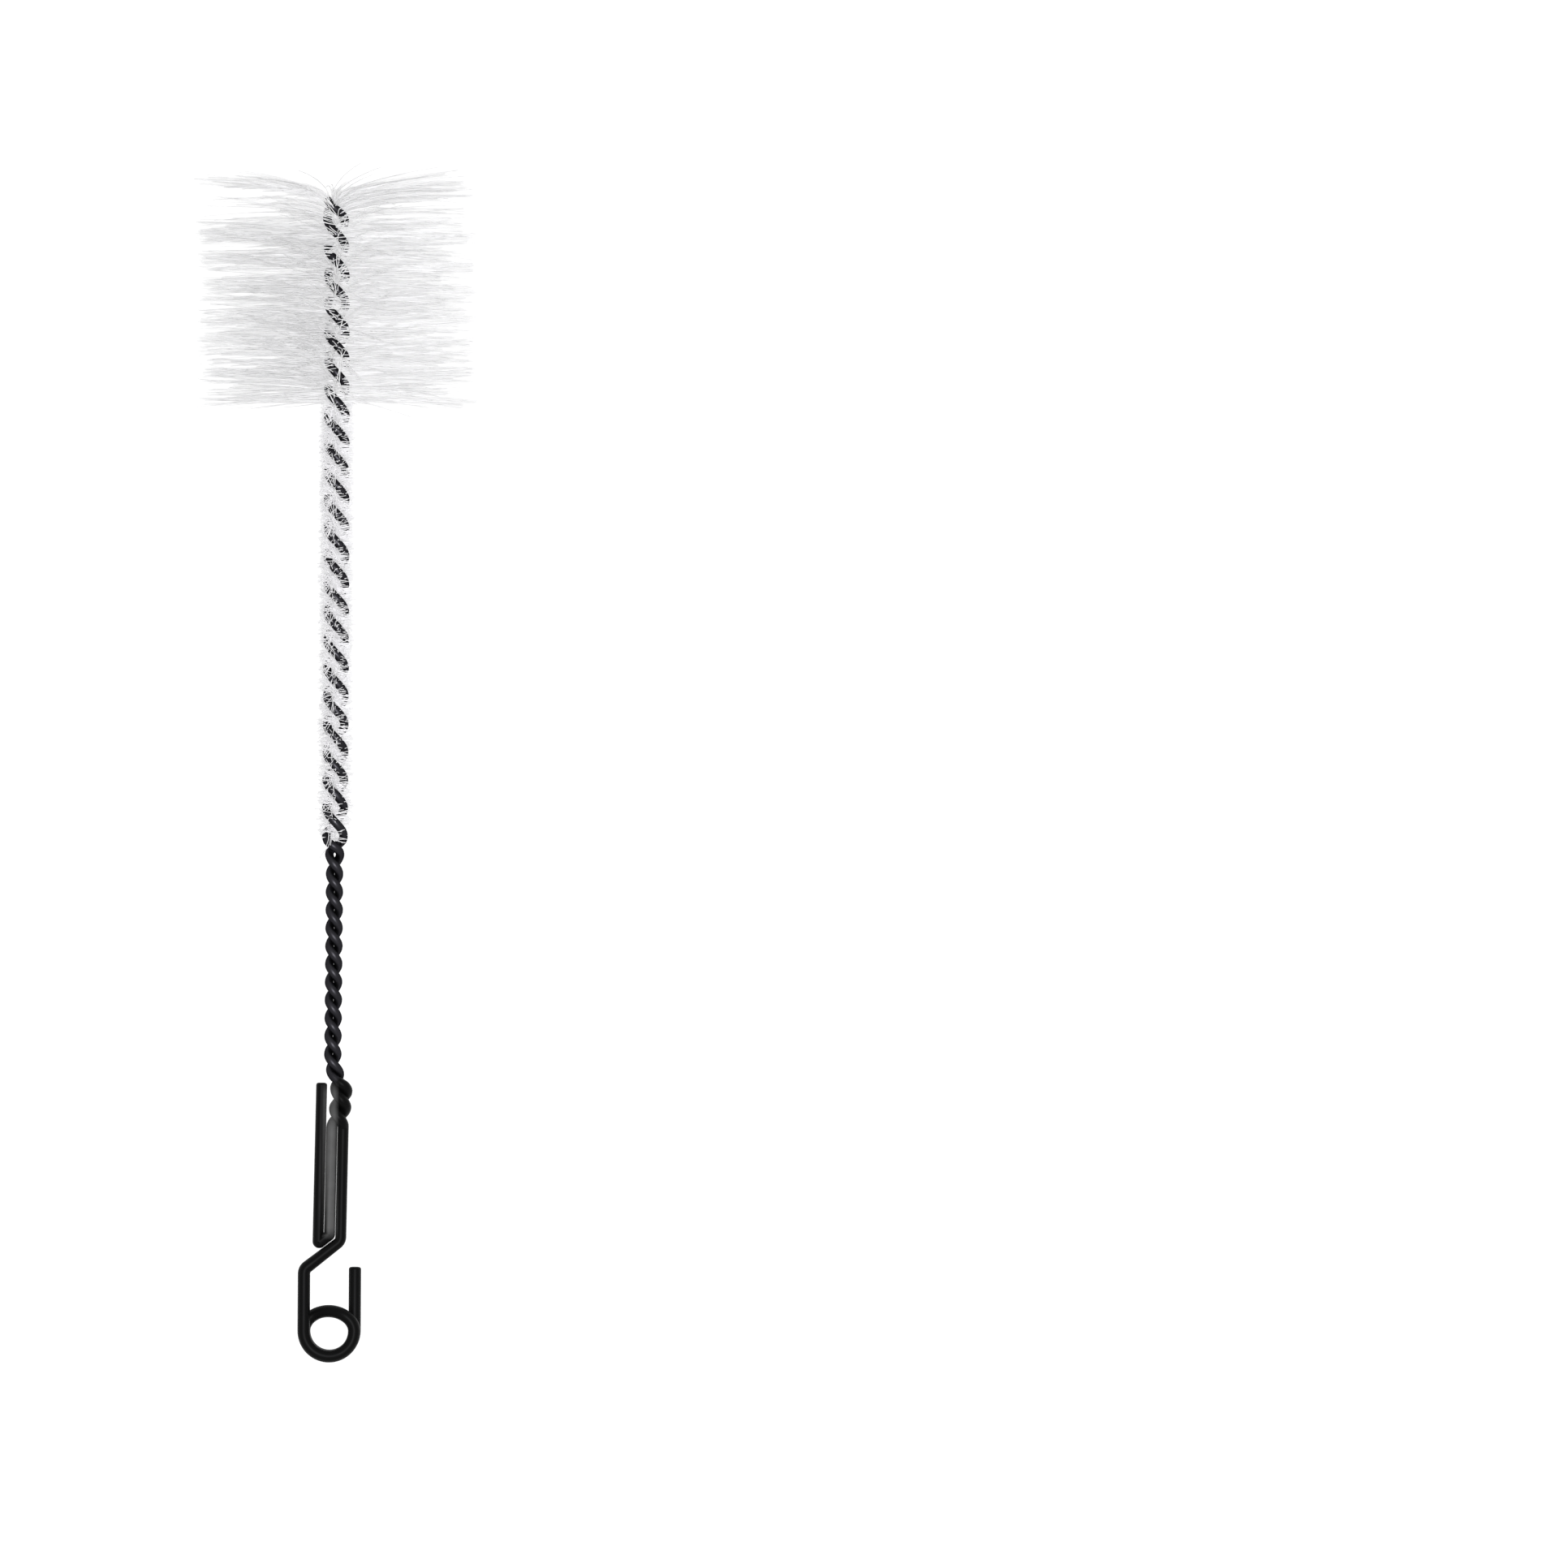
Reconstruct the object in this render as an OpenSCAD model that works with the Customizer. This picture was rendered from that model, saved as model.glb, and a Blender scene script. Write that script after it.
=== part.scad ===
// Bottle brush: one folded and twisted wire that clamps a layer of straight filaments. The end
// of the wire that makes the handle is thicker, because it is dipped in black plastic.
// The brush is drawn along its own axis (y from the ring to the tip, z square to the ring),
// then laid down: it rests on its ring and on the rim of its head.

/* [Wire] */
// Diameter of the bare wire
wire_d = 2.2; // [1.8:0.1:3]
// Air between two strands that lie side by side
strand_gap = 0.06; // [0.04:0.01:0.2]
// Facets round the wire
wire_sides = 8; // [6:2:12]
// Steps along the wire in each turn of twist
steps_per_turn = 12; // [10:1:16]

/* [Dipped handle] */
// Thickness of the dip on the grip
grip_coat = 0.3; // [0:0.02:0.5]
// Thickness of the dip on the ring and the hook
ring_coat = 0.42; // [0:0.02:0.7]
// Height over which the dip thins out at the top of the grip
coat_fade = 2; // [1:0.5:5]

/* [Stem] */
// Length of the stem that carries the long bristles
head_len = 49.7; // [35:1:70]
// Length of the stem whose bristles are trimmed short
trimmed_len = 111.3; // [60:1:150]
// Length of the bare twisted stem, down to the top of the grip
bare_len = 61.2; // [40:0.1:90]
// Turns of twist in the bare stem
bare_turns = 7.9; // [5:0.1:9.5]
// Height over which the strands spread to take in the filaments
spread_len = 5; // [3:0.5:10]
// Sideways bow of the stem
stem_bow = 0.8; // [0:0.1:3]
// How far the fold at the tip leans to the left
fold_lean = 1.1; // [0:0.1:1.2]

/* [Bristles] */
// Diameter of the head across the bristle tips
brush_d = 72; // [50:1:90]
// Thickness of the clamped layer of filaments, between the strands
fill_t = 2; // [0.8:0.1:2.4]
// Thickness of the layer where it parts into tufts
root_t = 1; // [0.6:0.1:1.6]
// Play between the filament layer and each strand
fill_play = 0.08; // [0.05:0.01:0.15]
// Tufts across one row
tufts_per_row = 32; // [12:1:36]
// Radius where the layer parts into separate tufts
tuft_root_r = 9; // [6:0.5:14]
// How much shorter than the longest a tuft can be
tuft_raggedness = 3; // [0:0.5:6]
// How far a tuft's tip strays along the stem
tuft_stray = 1.3; // [0:0.1:2]
// Rise of the first tufts, which the fold pushes outwards
top_flare = 6; // [0:0.5:10]
// Diameter of the trimmed stem across the longest stubs
trimmed_d = 9; // [7:0.5:14]
// Depth to which the head's rim is pressed flat where it lies
flat_depth = 0.8; // [0.3:0.1:2]

/* [Grip] */
// Length of the grip, from the hairpin to the free end at its top
grip_len = 38.4; // [28:0.1:60]
// Space between the two legs of the hairpin
hairpin_gap = 0.3; // [0.1:0.1:1.5]
// Sideways swell of the pair where it enters the grip
entry_swell = 0.95; // [0.2:0.05:1.5]
// Length of the twist that runs down beside the grip's free end
untwist_len = 11.7; // [8:0.1:16]
// Height over which the twist dies out
twist_fade = 4; // [2:0.5:8]
// Height over which the pair moves back to the middle, above the grip
return_len = 7; // [5:0.5:15]

/* [Ring and hook] */
// Width of the ring between the middles of its bars
ring_w = 12.8; // [10:0.1:18]
// Rise of the ring's top arc above its widest point
eye_rise = 5; // [4.5:0.1:8]
// Height of the hook's free end above the ring's lowest point
hook_len = 24.2; // [19:0.1:30]
// Height of the elbow where the diagonal meets the left bar
elbow_y = 23.4; // [18:0.1:34]
// Slope of the diagonal
diagonal_angle = 36; // [25:1:45]
// Bend radius at both ends of the diagonal, at the middle of the wire
bend_r = 2.2; // [1.5:0.1:4]

/* [Hidden] */
head_rows = 7;

wire_color = "#2b2b2f";
long_bristle_color = "#e9e8ef";
short_bristle_color = "#d9d7e2";
random_seed = 11;
tip_t = root_t / 3;                     // thickness of a tuft at its tip

wire_r = wire_d / 2;
pair_r = (wire_d + strand_gap) / 2;     // radius of the bare twist
filled_r = wire_r + fill_t / 2 + fill_play;  // radius of the twist round the filaments
grip_wire_r = wire_r + grip_coat;
ring_wire_r = wire_r + ring_coat;
grip_pitch = 2 * grip_wire_r + strand_gap;   // middles of two strands side by side in the grip
ring_pitch = 2 * ring_wire_r + strand_gap;   // middles of the ring's two turns
ring_r = ring_w / 2;
ring_y = ring_wire_r + ring_r;          // height of the ring's widest point

// The diagonal runs just clear of the hairpin, and the hairpin's height follows from it.
hairpin_r = grip_wire_r + hairpin_gap / 2;
hairpin_clear = hairpin_r + grip_wire_r + ring_wire_r + strand_gap;
hairpin_y = elbow_y + (ring_r - hairpin_r) * tan(diagonal_angle) + hairpin_clear / cos(diagonal_angle);
right_bend_y = elbow_y + (ring_r + grip_pitch) * tan(diagonal_angle);

grip_top_y = hairpin_y + grip_len;
entry_y = grip_top_y - 1.25 * wire_d;    // where the pair bulges most
untwist_y = grip_top_y - untwist_len;    // where the twist starts
fill_y = grip_top_y + bare_len;          // where the filaments start
head_y = fill_y + trimmed_len;           // where the long bristles start
fold_y = head_y + head_len;              // where the strands turn over at the tip
row_len = head_len / head_rows;
fill_lead = 2 * row_len;                 // one row is half a turn
twist_ease = twist_fade / (fill_y - untwist_y);

function smooth(t) = let (u = min(1, max(0, t))) u * u * (3 - 2 * u);
function unit(v) = v / norm(v);

// --- The twisted pair: everything is a function of the height y ---

// Share of the bare twist that is done at y: it eases in over the fade's height.
function bare_share(y) =
    let (t = min(1, max(0, (y - untwist_y) / (fill_y - untwist_y))), e = twist_ease)
    t < e ? t * t / (2 * e * (1 - e / 2)) : (t - e / 2) / (1 - e / 2);
function twist_angle(y) = 360 * (bare_turns * bare_share(y) + max(0, y - fill_y) / fill_lead);

// Thickness of the dip at height y, and the radius at which the strands run round their axis
function coat(y) = grip_coat * (1 - smooth((y - grip_top_y) / coat_fade + 0.5));
function twist_r(y) = pair_r + coat(y) + (filled_r - pair_r) * smooth((y - fill_y + spread_len) / spread_len);

// Sideways place of that axis: beside the grip's free end it makes room for the third strand.
function beside_grip(y) = grip_pitch / 2 * (1 - smooth((y - grip_top_y + wire_r) / return_len));
function swell(y) = entry_swell * smooth(1 - max((entry_y - y) / (entry_y - untwist_y), (y - entry_y) / (2 * wire_d)));
function bow(y) = stem_bow * max(0, sin(180 * (y - grip_top_y) / (fold_y - grip_top_y)));
function lean(y) = -fold_lean * smooth((y - fold_y) / (4 * filled_r) + 0.5);
function axis_x(y) = beside_grip(y) + swell(y) + bow(y) + lean(y);

function twisted(y, r, angle) = [axis_x(y) + r * cos(angle), y, r * sin(angle)];

// --- The wire's route: a list of [point, bend axis, thickness of the dip] stations ---

flat_axis = [0, 0, 1];
function twist_axis(y) = [-sin(twist_angle(y)), 0, cos(twist_angle(y))];
function strand_station(y, side) = [twisted(y, side * twist_r(y), twist_angle(y)), twist_axis(y), coat(y)];
function flat_station(x, y, z = 0, dip = grip_coat) = [[x, y, z], flat_axis, dip];

// Heights of the stations along the twisted stem
bare_steps = ceil(bare_turns * steps_per_turn);
filled_steps = ceil((fold_y - fill_y) / fill_lead * steps_per_turn);
stem_heights = concat(
    [for (i = [0:bare_steps - 1]) untwist_y + (fill_y - untwist_y) * i / bare_steps],
    [for (i = [0:filled_steps]) fill_y + (fold_y - fill_y) * i / filled_steps]
);
last_height = len(stem_heights) - 1;

// Flat arc of stations, at one height z and with one thickness of the dip
function arc(x, y, rx, ry, from, to, steps, z = 0, dip = grip_coat) =
    [for (i = [0:steps]) let (a = from + (to - from) * i / steps)
        flat_station(x + rx * cos(a), y + ry * sin(a), z, dip)];

// The bend at each end of the diagonal turns through this angle.
bend_angle = 90 - diagonal_angle;
bend_cut = bend_r * tan(bend_angle / 2);  // from the corner to where the bend starts
bend_steps = 4;
arc_steps = 8;
fold_steps = 12;

grip_left = concat(
    [flat_station(-grip_pitch, grip_top_y)],
    arc(-hairpin_r, hairpin_y, hairpin_r, hairpin_r, 180, 360, arc_steps)
);
leg_up = [for (i = [0:last_height]) strand_station(stem_heights[i], -1)];
tip_fold = [
    for (i = [1:fold_steps - 1]) let (a = 180 * i / fold_steps, r = filled_r)
        [twisted(fold_y, -r * cos(a), twist_angle(fold_y)) + [0, r * sin(a), 0], twist_axis(fold_y), 0]
];
leg_down = [for (i = [last_height:-1:0]) strand_station(stem_heights[i], 1)];
diagonal = concat(
    arc(grip_pitch - bend_r, right_bend_y + bend_cut, bend_r, bend_r, 0, -bend_angle, bend_steps),
    arc(-ring_r + bend_r, elbow_y - bend_cut, bend_r, bend_r, 180 - bend_angle, 180, bend_steps, dip = ring_coat)
);
first_pass = arc(0, ring_y, ring_r, ring_r, 180, 360, arc_steps, dip = ring_coat);
top_arc = [
    for (i = [1:arc_steps - 1]) let (a = 180 * i / arc_steps)
        flat_station(ring_r * cos(a), ring_y + eye_rise * sin(a), -ring_pitch * smooth((a - 45) / 90), ring_coat)
];
second_pass = arc(0, ring_y, ring_r, ring_r, 180, 360, arc_steps, -ring_pitch, ring_coat);
hook_end = [flat_station(ring_r, hook_len, -ring_pitch, ring_coat)];

route = concat(grip_left, leg_up, tip_fold, leg_down, diagonal, first_pass, top_arc, second_pass, hook_end);

// --- Sweeps ---

// Ring of points round station i, with a flat turned to the strand beside it
function wire_ring(i, less = 0, shift = 0) =
    let (
        last = len(route) - 1,
        r = wire_r + route[i][2] - less,
        along = unit(route[min(last, i + 1)][0] - route[max(0, i - 1)][0]),
        outward = unit(cross(route[i][1], along)),
        across = cross(along, outward)
    )
    [for (k = [0:wire_sides - 1]) let (a = 360 * (k + 0.5) / wire_sides)
        route[i][0] + along * shift + r * (cos(a) * outward + sin(a) * across)];

// The free ends are slightly rounded: each has one small ring more.
end_round = 0.3 * wire_d;
wire_rings = concat(
    [wire_ring(0, end_round / 2, -end_round / 2)],
    [for (i = [0:len(route) - 1]) wire_ring(i)],
    [wire_ring(len(route) - 1, end_round / 2, end_round / 2)]
);
wire_points = [for (ring = wire_rings) each ring];

function quad(a, b, c, d) = [[a, b, c], [a, c, d]];
function tube_faces(rings, sides) = concat(
    [[for (k = [0:sides - 1]) k]],
    [for (i = [0:rings - 2], k = [0:sides - 1])
        let (a = i * sides + k, b = i * sides + (k + 1) % sides)
            each quad(a, a + sides, b + sides, b)],
    [[for (k = [sides - 1:-1:0]) (rings - 1) * sides + k]]
);

// --- How it lies ---

// Tilt at which both the ring and the pressed rim of the head meet the floor
brush_r = brush_d / 2;
lie_angle = atan((brush_r - flat_depth - ring_pitch - ring_wire_r) / (head_y - ring_wire_r));
function lying(p) = [
    p[0],
    p[1] * cos(lie_angle) - p[2] * sin(lie_angle),
    p[1] * sin(lie_angle) + p[2] * cos(lie_angle)
];
floor_z = min([for (p = wire_points) lying(p)[2]]);

// Longest bristle in direction `angle` at height y that the floor leaves room for
function floor_reach(y, angle) =
    sin(angle) < 0 ? (y * sin(lie_angle) - floor_z) / (-sin(angle) * cos(lie_angle)) : brush_r;

// --- The filament layer ---
// A comb is a screw-shaped strip that ends in tufts on both sides. Each edge across it has points
// at the root radius, on the axis and at the root radius again, on both faces.

// Point at signed radius u of the layer, lifted off its middle surface by half of t
function layer_point(y, u, t, rise) =
    let (
        angle = twist_angle(y) + 90,
        slope = u * 2 * PI / fill_lead,
        normal = unit([-sin(angle), -slope, cos(angle)])
    )
    twisted(y + rise, u, angle) + normal * t / 2;

// Rise of the layer at radius u, `turned` degrees below the fold
function flare(u, turned) = top_flare * pow(abs(u) / brush_r, 0.5) * pow(max(0, 1 - turned / 180), 2);
function turned_at(y) = (fold_y - y) / fill_lead * 360;

// Points of a comb: first all its edges, then all its tufts.
function comb_points(top, bottom, tufts, root_r, tip_t, reach, stray) =
    let (step = (bottom - top) / tufts)
    concat(
        [for (k = [0:tufts], face = [1, -1], side = [-1, 0, 1])
            let (y = top + k * step, u = side * root_r)
                layer_point(y, u, face * (side == 0 ? fill_t : root_t), flare(u, turned_at(y)))],
        [for (k = [0:tufts - 1], side = [-1, 1], face = [1, -1])
            let (
                y = top + (k + 0.5) * step,
                n = 2 * k + (side + 1) / 2,
                free_r = reach[n],
                rise = stray[n] + flare(free_r, turned_at(y)),
                r = min(free_r, floor_reach(y + rise - tip_t / 2, twist_angle(y) + 90 * side))
            )
                layer_point(y, side * r, face * tip_t, rise)]
    );

function comb_faces(tufts) =
    let (tips = 6 * (tufts + 1), last = 6 * tufts)
    concat(
        quad(1, 0, 3, 4), quad(2, 1, 4, 5),
        [for (k = [0:tufts - 1])
            let (a = 6 * k, b = a + 6, t = tips + 4 * k)
                each concat(
                    quad(a, a + 1, b + 1, b), quad(a + 1, a + 2, b + 2, b + 1),
                    quad(b + 3, b + 4, a + 4, a + 3), quad(b + 4, b + 5, a + 5, a + 4),
                    [[a, b, t], [a + 3, t + 1, b + 3]],
                    quad(a, t, t + 1, a + 3), quad(t, b, b + 3, t + 1),
                    [[a + 2, t + 2, b + 2], [a + 5, b + 5, t + 3]],
                    quad(t + 2, a + 2, a + 5, t + 3), quad(b + 2, t + 2, t + 3, b + 5)
                )],
        quad(last, last + 1, last + 4, last + 3), quad(last + 1, last + 2, last + 5, last + 4)
    );

function row_points(row) =
    let (
        top = fold_y - (row - 1) * row_len - fill_play,
        bottom = top - row_len + 2 * fill_play,
        reach = rands(brush_r - tuft_raggedness, brush_r, 2 * tufts_per_row, random_seed + row),
        stray = rands(-tuft_stray, tuft_stray, 2 * tufts_per_row, 2 * random_seed + row)
    )
    comb_points(top, bottom, tufts_per_row, tuft_root_r, tip_t, reach, stray);

// Middle of the brush as it lies, which goes to the origin
lying_points = [for (p = concat(wire_points, [for (row = [1:head_rows]) each row_points(row)])) lying(p)];
function middle(i) = let (v = [for (p = lying_points) p[i]]) (min(v) + max(v)) / 2;

// --- Sub-parts ---

module lie_down() {
    translate([-middle(0), -middle(1), -floor_z]) rotate([lie_angle, 0, 0]) children();
}

module wire() {
    color(wire_color) lie_down()
        polyhedron(points = wire_points, faces = tube_faces(len(wire_rings), wire_sides));
}

module bristle_row(row) {
    color(long_bristle_color) lie_down()
        polyhedron(points = row_points(row), faces = comb_faces(tufts_per_row));
}

module trimmed_bristles() {
    stubs = ceil(trimmed_len / fill_lead * steps_per_turn);
    reach = rands(filled_r + wire_r / 2, trimmed_d / 2, 2 * stubs, random_seed);
    stray = [for (i = [0:2 * stubs - 1]) 0];
    color(short_bristle_color) lie_down()
        polyhedron(
            points = comb_points(head_y - fill_t / 2, fill_y + fill_t / 2, stubs, filled_r + wire_r / 4,
                tip_t, reach, stray),
            faces = comb_faces(stubs)
        );
}

wire();
trimmed_bristles();
for (row = [1:head_rows])
    bristle_row(row);
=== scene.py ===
import math

import bpy
from mathutils import Matrix, Vector


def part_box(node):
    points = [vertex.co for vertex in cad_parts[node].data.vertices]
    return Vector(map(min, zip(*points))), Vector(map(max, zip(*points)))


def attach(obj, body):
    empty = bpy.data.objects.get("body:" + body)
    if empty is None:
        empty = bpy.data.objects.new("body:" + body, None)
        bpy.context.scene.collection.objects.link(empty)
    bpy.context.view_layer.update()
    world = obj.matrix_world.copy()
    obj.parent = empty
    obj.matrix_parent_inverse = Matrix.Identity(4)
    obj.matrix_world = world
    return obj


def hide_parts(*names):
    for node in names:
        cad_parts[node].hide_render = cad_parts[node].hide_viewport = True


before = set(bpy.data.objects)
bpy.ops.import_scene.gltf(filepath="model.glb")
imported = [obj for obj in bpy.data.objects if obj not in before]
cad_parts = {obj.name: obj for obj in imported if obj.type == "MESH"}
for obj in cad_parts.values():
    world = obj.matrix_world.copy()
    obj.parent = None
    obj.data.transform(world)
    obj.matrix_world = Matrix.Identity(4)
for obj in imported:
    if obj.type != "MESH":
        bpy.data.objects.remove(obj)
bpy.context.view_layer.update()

# --- Wire ---------------------------------------------------------------------------------------
# One drawn steel wire, folded in half at the tip and twisted left-handed round the filaments.
# One end turns back along the grip; the other makes the diagonal, goes twice round the ring and
# ends as a hook. The handle's end, up to the top of the grip, is dipped black and is thicker.

MM = 0.001                     # the sizes below are in millimetres

steel_d = 2.2
steel_r = steel_d / 2
grip_dip = 0.3                 # the dip is thinner on the grip than on the ring and the hook
ring_dip = 0.48
dip_fade = 2.0                 # length in which it runs out at the top of the grip
strand_gap = 0.06              # clearance between turns that touch
fill_t = 2.0                   # the filaments between the two sides hold them apart
fill_play = 0.08
pair_r = steel_r + strand_gap / 2
filled_r = steel_r + fill_t / 2 + fill_play
grip_wire_r = steel_r + grip_dip
ring_wire_r = steel_r + ring_dip
grip_pitch = 2 * grip_wire_r + strand_gap
ring_pitch = 2 * ring_wire_r + strand_gap

ring_r = 6.4
ring_y = ring_r + ring_wire_r
eye_rise = 5.0                 # height of the turn that closes the ring above its middle
hook_len = 24.2
elbow_y = 23.6                 # where the diagonal leaves the ring's straight side
diagonal_angle = math.radians(38)
bend_r = 2.2

hairpin_gap = 0.1              # between the free end and the strand beside it
crease_r = 0.3                 # the hairpin is folded flat against the diagonal
crease_gap = 0.14              # between the hairpin and the diagonal
grip_top_y = 70.96
free_lean = 0.65               # how far the free end leans in at its top
entry_swell = 0.95             # how far the pair stands out beside the free end
entry_depth = 1.25 * steel_d   # where it stands out most, below the top of the grip
swell_fade = 2 * steel_d
untwist_len = 11.7             # how far below the top of the grip the twist starts
twist_fade = 1.5               # length in which it eases in
return_len = 7.0               # length in which the pair comes back to the middle above the grip

bare_len = 61.2
bare_turns = 7.9
trimmed_len = 111.3
head_len = 49.7
head_rows = 7
spread_len = 5.0               # length in which the filaments force the two sides apart
stem_bow = 0.75
fold_lean = 2.8                # how far the twist leans over at the fold
fold_lean_len = 4 * filled_r
fold_rise = 0.6 * filled_r

hairpin_r = grip_wire_r + hairpin_gap / 2
hairpin_y = (elbow_y + (ring_r - hairpin_r) * math.tan(diagonal_angle)
             + (2 * grip_wire_r + crease_gap) / math.cos(diagonal_angle))
grip_len = grip_top_y - hairpin_y
right_bend_y = elbow_y + (ring_r + grip_pitch) * math.tan(diagonal_angle)
entry_y = grip_top_y - entry_depth
untwist_y = grip_top_y - untwist_len
fill_y = grip_top_y + bare_len
head_y = fill_y + trimmed_len
fold_y = head_y + head_len
row_len = head_len / head_rows
fill_lead = 2 * row_len

brush_r = 36.0
flat_depth = 0.8               # how far the floor presses the rim of the head
lie_angle = math.atan((brush_r - flat_depth - ring_pitch - ring_wire_r) / (head_y - ring_wire_r))


def smooth(t):
    t = min(1.0, max(0.0, t))
    return t * t * (3 - 2 * t)


def twist_angle(y):
    """Angle of the pair at height y: the bare twist eases in, the filled one is even."""
    ease = twist_fade / (fill_y - untwist_y)
    t = min(1.0, max(0.0, (y - untwist_y) / (fill_y - untwist_y)))
    share = t * t / (2 * ease * (1 - ease / 2)) if t < ease else (t - ease / 2) / (1 - ease / 2)
    return 2 * math.pi * (bare_turns * share + max(0.0, y - fill_y) / fill_lead)


def axis_x(y):
    """Sideways place of the pair's axis: beside the grip's free end, then in the stem's bow."""
    beside_grip = grip_pitch / 2 * (1 - smooth((y - grip_top_y + steel_r) / return_len))
    swell = entry_swell * smooth(1 - max((entry_y - y) / (entry_y - untwist_y),
                                         (y - entry_y) / swell_fade))
    bow = stem_bow * math.sqrt(max(0.0, math.sin(math.pi * (y - hairpin_y) / (fold_y - hairpin_y))))
    lean = -fold_lean * smooth((y - fold_y) / fold_lean_len + 0.5)
    return beside_grip + swell + bow + lean


def strand(y, side):
    """Place of one side of the pair, and its dip: side by side, then twisted, then filled."""
    a = twist_angle(y)
    dip = grip_dip * (1 - smooth((y - grip_top_y) / dip_fade + 0.5))
    r = pair_r + dip + (filled_r - pair_r) * smooth((y - fill_y + spread_len) / spread_len)
    return (axis_x(y) + side * r * math.cos(a), y, side * r * math.sin(a)), dip


def arc(x, y, rx, ry, start, end, z=0.0):
    """Flat arc between two angles in degrees, with a point every five degrees or so."""
    steps = max(2, round(abs(end - start) / 5))
    turns = [math.radians(start + (end - start) * i / steps) for i in range(steps + 1)]
    return [(x + rx * math.cos(a), y + ry * math.sin(a), z) for a in turns]


def dipped(points, dip):
    return [(p, dip) for p in points]


def wire_route():
    """The middle of the whole wire, from the free end on the grip to the tip of the hook."""
    steps_per_turn = 26
    fold_steps = 24
    bare = round(bare_turns * steps_per_turn)
    filled = round((fold_y - fill_y) / fill_lead * steps_per_turn)
    heights = [untwist_y + (fill_y - untwist_y) * i / bare for i in range(bare)]
    heights += [fill_y + (fold_y - fill_y) * i / filled for i in range(filled + 1)]

    # The hairpin has two creases, with a straight run between them that lies on the diagonal.
    slope = math.degrees(diagonal_angle)
    rise = hairpin_r * math.tan(diagonal_angle)
    low = hairpin_y - rise + crease_r * math.tan(math.radians(45 + slope / 2))
    high = hairpin_y + rise + crease_r * math.tan(math.radians(45 - slope / 2))
    hairpin = arc(crease_r - 2 * hairpin_r, low, crease_r, crease_r, 180, 270 + slope)
    hairpin += arc(-crease_r, high, crease_r, crease_r, 270 + slope, 360)
    free_end = [(free_lean - grip_pitch, grip_top_y, 0.0)]
    route = dipped(free_end + hairpin, grip_dip)
    route += [strand(y, -1) for y in heights]

    a = twist_angle(fold_y)
    for i in range(1, fold_steps):
        turned = math.pi * i / fold_steps
        y = fold_y + fold_rise * math.sin(turned)
        r = -filled_r * math.cos(turned)
        route.append(((axis_x(y) + r * math.cos(a), y, r * math.sin(a)), 0.0))
    route += [strand(y, 1) for y in reversed(heights)]

    bend = math.degrees(math.pi / 2 - diagonal_angle)
    cut = bend_r * math.tan(math.radians(bend / 2))
    right_bend = arc(grip_pitch - bend_r, right_bend_y + cut, bend_r, bend_r, 0, -bend)
    route += dipped(right_bend, grip_dip)
    ring = arc(-ring_r + bend_r, elbow_y - cut, bend_r, bend_r, 180 - bend, 180)
    ring += arc(0, ring_y, ring_r, ring_r, 180, 360)

    # Over the top of the ring the wire drops back by its own thickness, to pass behind itself.
    drop_from, drop_angle = 45, 90
    over = arc(0, ring_y, ring_r, eye_rise, 0, 180)[1:-1]
    for i, (x, y, _) in enumerate(over):
        a = 180 * (i + 1) / (len(over) + 1)
        ring.append((x, y, -ring_pitch * smooth((a - drop_from) / drop_angle)))
    ring += arc(0, ring_y, ring_r, ring_r, 180, 360, -ring_pitch)
    ring.append((ring_r, hook_len, -ring_pitch))
    return route + dipped(ring, ring_dip)


def lie_down(point):
    """Tips the upright drawing over, as the brush lies on its ring and the rim of its head."""
    return Matrix.Rotation(lie_angle, 3, "X") @ Vector(point) * MM


def rounded_ends(route):
    """Adds the short steps in which each cut end closes in; gives place, radius and dip."""
    steps = [(0.0, 0.55), (0.1, 0.8), (0.3, 0.95), (0.6, 1.0)]

    def end(first, second):
        way = (second[0] - first[0]).normalized()
        r = steel_r + first[1]
        return [(first[0] + way * run * MM, r * girth, first[1]) for run, girth in steps]

    body = [(p, steel_r + dip, dip) for p, dip in route[1:-1]]
    return end(route[0], route[1]) + body + end(route[-1], route[-2])[::-1]


stations = rounded_ends([(lie_down(p), dip) for p, dip in wire_route()])
wire_low, wire_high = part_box("wire")
rest_place = Vector((
    (wire_low[0] + wire_high[0]) / 2
    - (min(p.x - r * MM for p, r, _ in stations) + max(p.x + r * MM for p, r, _ in stations)) / 2,
    wire_low[1] - min(p.y - r * MM for p, r, _ in stations),
    wire_low[2] - min(p.z - r * MM for p, r, _ in stations),
))


class Link:
    """Wraps one output socket, so that sums of sockets are written as sums."""

    def __init__(self, tree, socket=None):
        self.tree, self.socket = tree, socket

    def node(self, kind, inputs=(), out=0, **settings):
        """Places a node, sets it, feeds its inputs by name or number and wraps one output."""
        made = self.tree.nodes.new(kind)
        for name, value in settings.items():
            setattr(made, name, value)
        for key, value in dict(inputs).items():
            if isinstance(value, Link):
                self.tree.links.new(value.socket, made.inputs[key])
            else:
                made.inputs[key].default_value = value
        return Link(self.tree, made.outputs[out])

    def maths(self, operation, *terms):
        return self.node("ShaderNodeMath", enumerate(terms), operation=operation)

    def __add__(self, other):
        return self.maths("ADD", self, other)

    def __sub__(self, other):
        return self.maths("SUBTRACT", self, other)

    def __rsub__(self, other):
        return self.maths("SUBTRACT", other, self)

    def __mul__(self, other):
        return self.maths("MULTIPLY", self, other)

    def __truediv__(self, other):
        return self.maths("DIVIDE", self, other)

    def __pow__(self, other):
        return self.maths("POWER", self, other)

    __radd__ = __add__
    __rmul__ = __mul__


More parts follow.
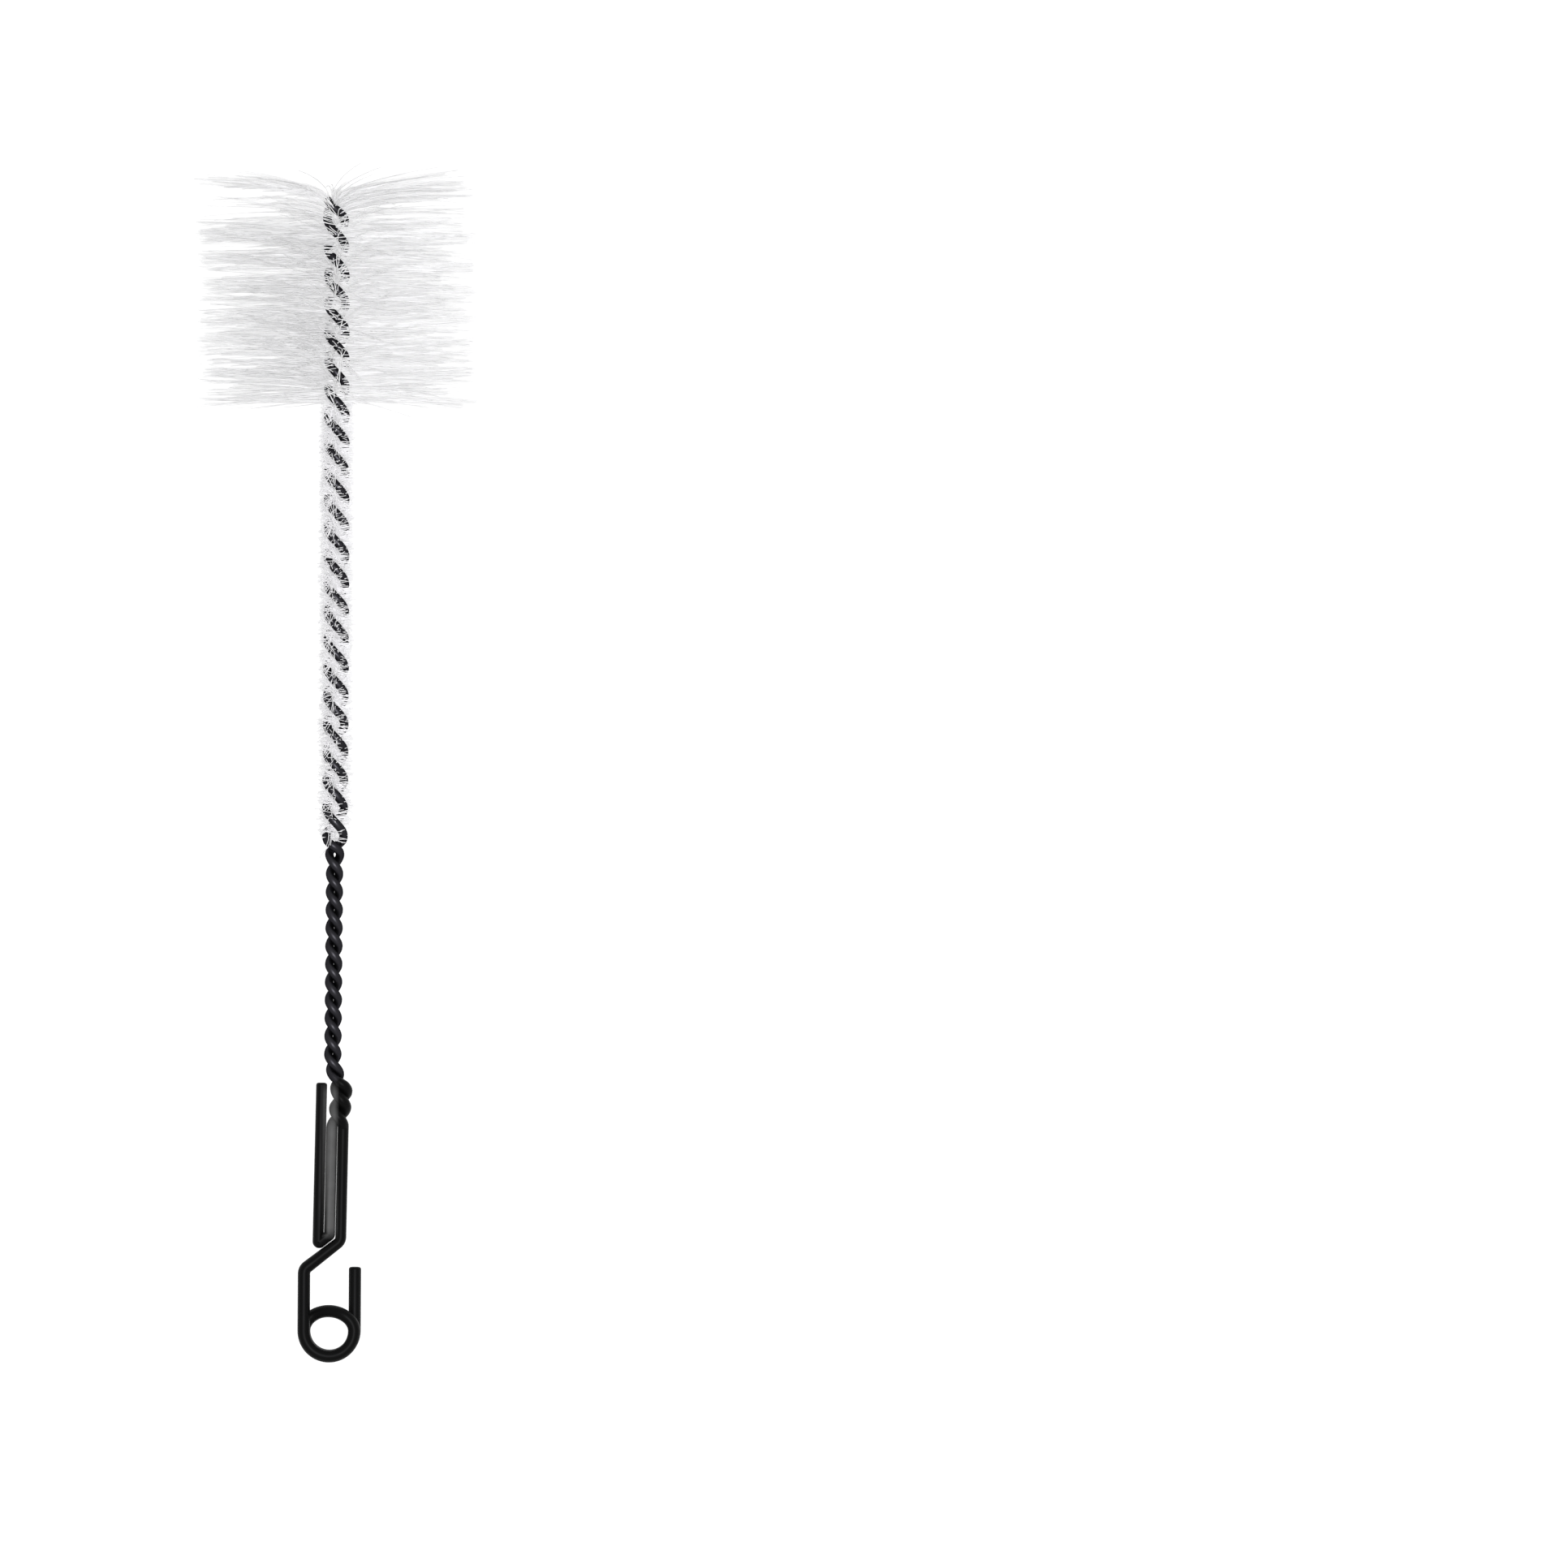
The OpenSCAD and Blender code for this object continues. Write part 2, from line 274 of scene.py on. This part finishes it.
def node_tree(name, sizes):
    """A Geometry Nodes tree with one named input for each size; returns its inputs by name."""
    tree = bpy.data.node_groups.new(name, "GeometryNodeTree")
    tree.interface.new_socket("Geometry", in_out="OUTPUT", socket_type="NodeSocketGeometry")
    tree.interface.new_socket("Path", in_out="INPUT", socket_type="NodeSocketGeometry")
    for label, kind in sizes.items():
        tree.interface.new_socket(label, in_out="INPUT", socket_type="NodeSocket" + kind)
    start = tree.nodes.new("NodeGroupInput")
    return tree, {socket.name: Link(tree, socket) for socket in start.outputs if socket.name}


def close_tree(shape, material):
    """Ends a tree: the shape is smoothed, made real and given its material."""
    soft = shape.node("GeometryNodeSetShadeSmooth", {0: shape})
    real = soft.node("GeometryNodeRealizeInstances", {0: soft})
    done = real.node("GeometryNodeSetMaterial", {0: real, "Material": material})
    end = done.tree.nodes.new("NodeGroupOutput")
    done.tree.links.new(done.socket, end.inputs[0])


def path_mesh(name, points, values):
    """A bare line of points, with a named number at each point for the tree to read."""
    mesh = bpy.data.meshes.new(name)
    mesh.from_pydata(points, [(i, i + 1) for i in range(len(points) - 1)], [])
    for label, numbers in values.items():
        mesh.attributes.new(label, "FLOAT", "POINT").data.foreach_set("value", numbers)
    return mesh


def grow(name, tree, sizes, path):
    """Runs a tree on a path and keeps what it makes as a plain mesh, with no modifier left."""
    maker = bpy.data.objects.new(name + "_path", path)
    bpy.context.scene.collection.objects.link(maker)
    modifier = maker.modifiers.new(name, "NODES")
    modifier.node_group = tree
    for item in tree.interface.items_tree:
        if item.in_out == "INPUT" and item.name in sizes:
            modifier[item.identifier] = sizes[item.name]
    graph = bpy.context.evaluated_depsgraph_get()
    mesh = bpy.data.meshes.new_from_object(
        maker.evaluated_get(graph), preserve_all_data_layers=True, depsgraph=graph)
    bpy.data.objects.remove(maker)
    mesh.name = name
    piece = bpy.data.objects.new(name, mesh)
    bpy.context.scene.collection.objects.link(piece)
    return piece


def principled(name, **constants):
    """A material with one shader; returns it, a link to build from and the shader's inputs."""
    material = bpy.data.materials.new(name)
    material.use_nodes = True
    tree = material.node_tree
    shader = next(n for n in tree.nodes if n.type == "BSDF_PRINCIPLED")
    for label, value in constants.items():
        shader.inputs[label.replace("_", " ")].default_value = value
    return material, Link(tree), shader


def feed(shader, label, link):
    link.tree.links.new(link.socket, shader.inputs[label])


steel_colors = (0.014, 0.014, 0.016, 1), (0.034, 0.033, 0.038, 1)
dip_and_highlight_colors = (0.003, 0.003, 0.003, 1), (0.115, 0.115, 0.115, 1)    # clean black, and the grey of the painted highlight
# Place and size of the painted highlight on the grip's middle strand, in millimetres.
grip_highlight_x = 0.1
grip_highlight_half_width = 2.2
grip_highlight_side_fade = 1.2
grip_highlight_end_fade = 3


def dipped_steel():
    """Dark drawn wire with fine lines along it, under a black dip on the handle's end; on the
    middle strand of the grip a grey highlight is painted into the dip's colour."""
    material, start, shader = principled("dipped_steel", Specular_IOR_Level=0.1,
                                         Specular_Tint=(0.35, 0.35, 0.36, 1))
    dip = start.node("ShaderNodeAttribute", out="Fac", attribute_name="dip")
    dipped = start.node("ShaderNodeClamp", {0: dip * (4 / grip_dip)})
    place = start.node("ShaderNodeAttribute", out="Vector", attribute_name="drawn")
    lines = start.node(
        "ShaderNodeTexNoise",
        {"Vector": start.node("ShaderNodeMapping", {"Vector": place, "Scale": (1, 1, 0.02)}),
         "Scale": 5200.0, "Detail": 2.0})
    patches = start.node("ShaderNodeTexNoise", {"Vector": place, "Scale": 420.0, "Detail": 3.0})
    # Painted highlight: the dip on the middle strand of the grip is painted grey around this spot,
    # fading out at its sides and ends.
    highlight_middle = lie_down((grip_highlight_x, hairpin_y + grip_len / 2, 0)) + rest_place
    spot = start.node("ShaderNodeSeparateXYZ", {0: start.node("ShaderNodeTexCoord", out="Object")})
    aside = start.maths("ABSOLUTE", spot - highlight_middle.x)
    above = start.maths("ABSOLUTE", Link(start.tree, spot.socket.node.outputs["Y"]) - highlight_middle.y)
    within_sides = (grip_highlight_half_width * MM - aside) / (grip_highlight_side_fade * MM)
    within_ends = (grip_len / 2 * MM - above) / (grip_highlight_end_fade * MM)
    painted_highlight = (start.node("ShaderNodeClamp", {0: within_sides})
              * start.node("ShaderNodeClamp", {0: within_ends}))

    def mix(share, dark, pale):
        return start.node("ShaderNodeMix", {0: share, 6: dark, 7: pale}, out=2, data_type="RGBA")

    steel = mix(0.35 * lines + 0.65 * patches, *steel_colors)
    # The dip's black, painted grey where the highlight falls.
    black = mix(painted_highlight * (0.6 + 0.4 * patches), *dip_and_highlight_colors)
    feed(shader, "Base Color", mix(dipped, steel, black))
    feed(shader, "Metallic", 1 - dipped)
    feed(shader, "Roughness", 0.3 + 0.1 * patches + 0.12 * lines * (1 - dipped) + 0.08 * dipped)
    feed(shader, "Normal", start.node(
        "ShaderNodeBump", {"Strength": 0.25, "Distance": 0.00003, "Height": lines * (1 - dipped)}))
    return material


def wire_tree(material):
    """Sweeps a round section along the path and notes where each point lies on the wire."""
    tree, given = node_tree("swept_wire", {"Sides": "Int"})
    path = given["Path"]
    curve = path.node("GeometryNodeMeshToCurve", {0: path})
    run = path.node("GeometryNodeSplineParameter", out="Length")
    curve = path.node("GeometryNodeStoreNamedAttribute",
                      {0: curve, "Name": "run", "Value": run}, domain="POINT")
    section = path.node("GeometryNodeCurvePrimitiveCircle",
                        {"Resolution": given["Sides"], "Radius": MM})
    around = path.node("GeometryNodeInputPosition")
    section = path.node("GeometryNodeStoreNamedAttribute",
                        {0: section, "Name": "round", "Value": around},
                        domain="POINT", data_type="FLOAT_VECTOR")
    radius = path.node("GeometryNodeInputNamedAttribute", {"Name": "radius"})
    tube = path.node("GeometryNodeCurveToMesh",
                     {"Curve": curve, "Profile Curve": section, "Scale": radius, "Fill Caps": True})
    round_place = path.node("GeometryNodeInputNamedAttribute", {"Name": "round"},
                            data_type="FLOAT_VECTOR")
    run_place = path.node("ShaderNodeCombineXYZ",
                          {"Z": path.node("GeometryNodeInputNamedAttribute", {"Name": "run"})})
    drawn = path.node("ShaderNodeVectorMath", {0: round_place, 1: run_place}, operation="ADD")
    close_tree(path.node("GeometryNodeStoreNamedAttribute",
                         {0: tube, "Name": "drawn", "Value": drawn},
                         domain="POINT", data_type="FLOAT_VECTOR"), material)
    return tree


wire_path = path_mesh("wire_path", [p + rest_place for p, _, _ in stations],
                      {"radius": [r for _, r, _ in stations],
                       "dip": [dip for _, _, dip in stations]})
wire = grow("folded_wire", wire_tree(dipped_steel()), {"Sides": 14}, wire_path)
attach(wire, "root")
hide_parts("wire")

# --- Long bristles ------------------------------------------------------------------------------
# Straight pale filaments, clamped across the twist, which spreads them into a screw. Each half
# turn of the wire is one row. The fold pushes the first ones forwards, past the tip, and those
# that reach the floor lie flat on it.

filament_d = 0.22
row_ends = 230
extra_tip_ends = 70            # the first row is fuller
longest_shortfall = 3.0        # how much shorter than the brush's radius the shortest ones are
row_gather = 0.45              # how far a splayed one follows the screw, as a share of its rise
top_flare = 6.6                # how far the fold pushes the first ones forwards
flare_depth = 5.5              # depth below the fold at which that ends
flare_fade = 3.5


def filament_tree(material):
    """Filaments that leave the axis on both sides, in the direction that the path states. Those
    that stand up from the floor are ruffled along the stem and stand out a little further."""
    tree, given = node_tree("clamped_filaments", {
        "Filament ends": "Int", "Thinning": "Float", "Filament radius": "Float",
        "Longest": "Float", "Shortfall": "Float", "Trim": "Float", "Layer": "Float",
        "Strand place": "Float", "Splay": "Float", "Gather": "Float", "Rake": "Float",
        "Ruffle": "Float", "Ruffle side": "Float", "Curl": "Float", "Points": "Int",
        "Crowding": "Float", "Seed": "Int", "Lie angle": "Float", "Rest place": "Vector"})
    path = given["Path"]

    def random(low, high, seed):
        return path.node("FunctionNodeRandomValue",
                         {2: low, 3: high, "Seed": given["Seed"] + seed}, out=1)

    def vector(x, y, z):
        return path.node("ShaderNodeCombineXYZ", {0: x, 1: y, 2: z})

    def stored(shape, name, value):
        return path.node("GeometryNodeStoreNamedAttribute",
                         {0: shape, "Name": name, "Value": value}, domain="POINT")

    def read(name):
        return path.node("GeometryNodeInputNamedAttribute", {"Name": name})

    # The roots: evenly along the axis, or thinning out towards its lower end.
    axis = path.node("GeometryNodeMeshToCurve", {0: path})
    index = path.node("GeometryNodeInputIndex")
    share = 1 - (1 - (index + random(0.0, 1.0, 1)) / given["Filament ends"]) ** given["Thinning"]

    def on_axis(name):
        return path.node("GeometryNodeSampleCurve",
                         {"Curves": axis, "Value": read(name), "Factor": share}, mode="FACTOR")

    roots = path.node("GeometryNodePoints", {
        "Count": given["Filament ends"],
        "Position": path.node("GeometryNodeSampleCurve", {"Curves": axis, "Factor": share},
                              out="Position", mode="FACTOR")})
    side = math.pi * path.maths("MODULO", index, 2.0)
    roots = stored(roots, "turn", on_axis("turn") + side)
    roots = stored(roots, "splay", given["Splay"] * random(-1.0, 1.0, 2))
    roots = stored(roots, "flare", on_axis("flare"))
    roots = stored(roots, "layer", given["Layer"] * random(-0.5, 0.5, 5))
    standing = path.maths("SINE", read("turn") + read("splay") - given["Ruffle side"])
    upright_from, upright_at = 0.85, 0.95
    upright = path.node("ShaderNodeMapRange", {0: standing, 1: upright_from, 2: upright_at},
                        interpolation_type="SMOOTHSTEP")
    ruffled = given["Ruffle"] * upright
    ruffled_rise = 0.55
    roots = stored(roots, "reach",
                   given["Longest"] - given["Shortfall"] * random(0.0, 1.0, 4) ** given["Trim"]
                   + ruffled_rise * ruffled * given["Strand place"])
    roots = stored(roots, "rake", given["Rake"] * (random(-0.5, 0.5, 6) + random(-0.5, 0.5, 7))
                   + ruffled * path.maths("SINE", random(-1.5, 1.5, 10)))
    roots = stored(roots, "curl", given["Curl"] * random(-1.0, 1.0, 8))
    roots = stored(roots, "shade", random(0.0, 1.0, 9))

    # One straight line on each root, with a number for how far out each of its points is.
    straight = path.node("GeometryNodeCurvePrimitiveLine", {"Start": (0, 0, 0), "End": (1, 0, 0)})
    straight = path.node("GeometryNodeResampleCurve", {"Curve": straight, "Count": given["Points"]})
    straight = stored(straight, "out",
                      path.node("GeometryNodeSplineParameter") ** given["Crowding"])
    ends = path.node("GeometryNodeInstanceOnPoints",
                     {"Points": roots, "Instance": straight, "Scale": (0, 0, 0)})
    ends = path.node("GeometryNodeRealizeInstances", {0: ends})

    # A filament leaves the layer almost straight and leans over only outside the two strands.
    inner_lean, lean_from, lean_at = 0.58, 0.9, 1.5
    out, reach = read("out"), read("reach")
    across = out * reach
    bent = reach * read("curl") * out * out
    aside = read("layer") + bent
    leaning = path.node("ShaderNodeMapRange", {
        0: across, 1: lean_from * given["Strand place"], 2: lean_at * given["Strand place"],
        3: inner_lean, 4: 1.0}, interpolation_type="SMOOTHSTEP")
    turn = read("turn") + read("splay") * leaning
    swung = path.maths("SINE", math.pi / 2 * out ** 0.5)
    along = (across * read("rake") + 0.5 * bent + read("flare") * swung
             + given["Gather"] * read("splay") * out ** 1.5)
    cosine, sine = path.maths("COSINE", turn), path.maths("SINE", turn)
    offset = vector(across * cosine - aside * sine, along, across * sine + aside * cosine)
    ends = path.node("GeometryNodeSetPosition", {0: ends, "Offset": offset})

    # The brush is laid down, and what would reach below the floor is pressed flat on it.
    tipped = path.node("FunctionNodeAxisAngleToRotation",
                       {"Axis": (1, 0, 0), "Angle": given["Lie angle"]})
    ends = path.node("GeometryNodeTransform", {
        0: ends, "Translation": given["Rest place"], "Rotation": tipped})
    place = path.node("ShaderNodeSeparateXYZ", {0: path.node("GeometryNodeInputPosition")})
    height = Link(tree, place.socket.node.outputs[2])
    sunk = path.maths("MAXIMUM", given["Filament radius"] - height, 0.0)
    ends = path.node("GeometryNodeSetPosition", {0: ends, "Offset": vector(0.0, 0.0, sunk)})

    tip_taper = 0.35
    section = path.node("GeometryNodeCurvePrimitiveCircle",
                        {"Resolution": 3, "Radius": given["Filament radius"]})
    close_tree(path.node("GeometryNodeCurveToMesh", {
        "Curve": ends, "Profile Curve": section, "Scale": 1.0 - tip_taper * out * out,
        "Fill Caps": True}), material)
    return tree


def nylon(name, root_color, tip_color):
    """Pale matt filament: no two are quite the same shade, and each changes towards its tip."""
    material, start, shader = principled(name, Roughness=0.42, Sheen_Weight=1.0)
    out = start.node("ShaderNodeAttribute", out="Fac", attribute_name="out")
    shade = start.node("ShaderNodeAttribute", out="Fac", attribute_name="shade")
    feed(shader, "Base Color", start.node(
        "ShaderNodeMix", {0: 0.55 * out + 0.45 * shade, 6: root_color, 7: tip_color},
        out=2, data_type="RGBA"))
    return material


def axis_path(name, top, bottom, steps):
    """The stem's axis from one height down to another, with the layer's turn at each point."""
    heights = [top + (bottom - top) * i / steps for i in range(steps + 1)]
    turns = [twist_angle(y) + math.pi / 2 for y in heights]
    pushed = [smooth((flare_depth - (fold_y - y)) / flare_fade) for y in heights]
    return path_mesh(name, [Vector((axis_x(y), y, 0)) * MM for y in heights],
                     {"turn": turns, "flare": [top_flare * MM * p for p in pushed]})


clamped = {
    "Filament radius": filament_d / 2 * MM, "Layer": 0.5 * fill_t * MM,
    "Strand place": filled_r * MM, "Splay": 1.5,
    "Lie angle": lie_angle, "Rest place": rest_place}
# Painted light: the long filaments are paler at the root, against the shade among them near the
# wire, and greyer at the tip, where the light falls on them fully; their random tones are their
# own.
long_filaments = filament_tree(
    nylon("long_nylon", (0.985, 0.98, 0.995, 1), (0.92, 0.92, 0.93, 1)))
for row in range(1, head_rows + 1):
    top = fold_y - (row - 1) * row_len
    bristles = grow(f"long_bristles_{row}", long_filaments, {
        **clamped,
        "Filament ends": row_ends + (extra_tip_ends if row == 1 else 0), "Thinning": 1.0,
        "Longest": brush_r * MM, "Shortfall": longest_shortfall * MM, "Trim": 2.0,
        "Gather": row_gather * row_len / math.pi * MM, "Rake": 0.1,
        "Ruffle": 0.12 if row > 1 else 0.0, "Ruffle side": 0.0,
        "Curl": 0.03, "Points": 10, "Crowding": 2.0, "Seed": 100 * row,
    }, axis_path(f"row_{row}_axis", top, top - row_len, 24))
    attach(bristles, "root")
    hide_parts(f"bristle_row_{row}")

# --- Trimmed bristles ---------------------------------------------------------------------------
# Below the head the same filaments are cut off close to the wire, so that a short uneven stubble
# stands out of the twist. It thins out towards the bare wire, and in front it is ruffled most
# over the left half of the wire.

stub_ends = 4700
stub_len = 5.6
stub_shortfall = 2.0
short_filaments = filament_tree(
    nylon("short_nylon", (0.93, 0.92, 0.955, 1), (0.985, 0.98, 0.995, 1)))
stubble = grow("trimmed_stubble", short_filaments, {
    **clamped,
    "Filament ends": stub_ends, "Thinning": 0.75,
    "Longest": stub_len * MM, "Shortfall": stub_shortfall * MM, "Trim": 0.4,
    "Gather": 0.0, "Rake": 0.4,
    "Ruffle": 1.0, "Ruffle side": 0.45,
    "Curl": 0.1, "Points": 4, "Crowding": 1.0, "Seed": 11,
}, axis_path("trimmed_axis", head_y, fill_y, 380))
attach(stubble, "root")
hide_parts("trimmed_bristles")

# --- Studio -------------------------------------------------------------------------------------
# A plain white floor, even soft light all round and a small front lamp at the camera. Floor and
# sky look white to the camera and in the wire's shine, but light the brush only softly.


def in_view(paint):
    """1 for what the camera sees, by itself or in a shine or through glass; 0 for soft light."""
    rays = paint.node("ShaderNodeLightPath").socket.node.outputs
    camera_ray, glossy_ray, clear_ray = (
        Link(paint.tree, rays[f"Is {kind} Ray"]) for kind in ("Camera", "Glossy", "Transmission"))
    return paint.maths("MINIMUM", camera_ray + glossy_ray + clear_ray, 1.0)


floor_reach = 4.0
floor_mesh = bpy.data.meshes.new("floor")
floor_mesh.from_pydata(
    [(x * floor_reach, y * floor_reach, 0) for x, y in ((-1, -1), (1, -1), (1, 1), (-1, 1))], [],
    [(0, 1, 2, 3)])
floor = bpy.data.objects.new("floor", floor_mesh)
bpy.context.scene.collection.objects.link(floor)
white = bpy.data.materials.new("white_floor")
white.use_nodes = True
white.node_tree.nodes.clear()
paint = Link(white.node_tree)
plain = paint.node("ShaderNodeBsdfDiffuse", {"Color": (0.8, 0.8, 0.8, 1)})
glow = paint.node("ShaderNodeEmission", {"Color": (1, 1, 1, 1), "Strength": 0.45})
seen_plain = paint.node("ShaderNodeBsdfDiffuse", {"Color": (0.62, 0.62, 0.62, 1)})
seen = paint.node("ShaderNodeAddShader", {0: seen_plain, 1: glow})
surface = paint.node("ShaderNodeMixShader", {0: in_view(paint), 1: plain, 2: seen})
output = white.node_tree.nodes.new("ShaderNodeOutputMaterial")
white.node_tree.links.new(surface.socket, output.inputs["Surface"])
floor_mesh.materials.append(white)

world = bpy.data.worlds.new("studio")
world.use_nodes = True
sky = Link(world.node_tree)
world_light = 0.25
background = world.node_tree.nodes["Background"]
background.inputs["Color"].default_value = (1, 1, 1, 1)
sky.tree.links.new((world_light + (1 - world_light) * in_view(sky)).socket,
                   background.inputs["Strength"])
bpy.context.scene.world = world

# The camera looks square onto the ring, so it leans as the stem does, with the brush at the left.
view_width = 0.3975
camera_run = 3.0
camera_roll = math.radians(0.36)
aimed_at = (114.5, 147.4, 0)   # on the upright drawing, as the wire's sizes are
camera_data = bpy.data.cameras.new("camera")
camera_data.lens = camera_data.sensor_width * camera_run / view_width
camera = bpy.data.objects.new("camera", camera_data)
facing = Matrix.Rotation(lie_angle, 3, "X")
roll = Matrix.Rotation(camera_roll, 3, "Z")
aim = lie_down(aimed_at) + rest_place
camera.matrix_world = (Matrix.Translation(aim + facing @ Vector((0, 0, camera_run)))
                       @ (facing @ roll).to_4x4())
bpy.context.scene.collection.objects.link(camera)
bpy.context.scene.camera = camera

lamp_data = bpy.data.lights.new("front_lamp", "AREA")
lamp_data.shape = "DISK"
lamp_data.size = 0.08
lamp_data.energy = 88.0
lamp = bpy.data.objects.new("front_lamp", lamp_data)
lamp.matrix_world = camera.matrix_world
bpy.context.scene.collection.objects.link(lamp)
bpy.context.scene.view_settings.view_transform = "Standard"
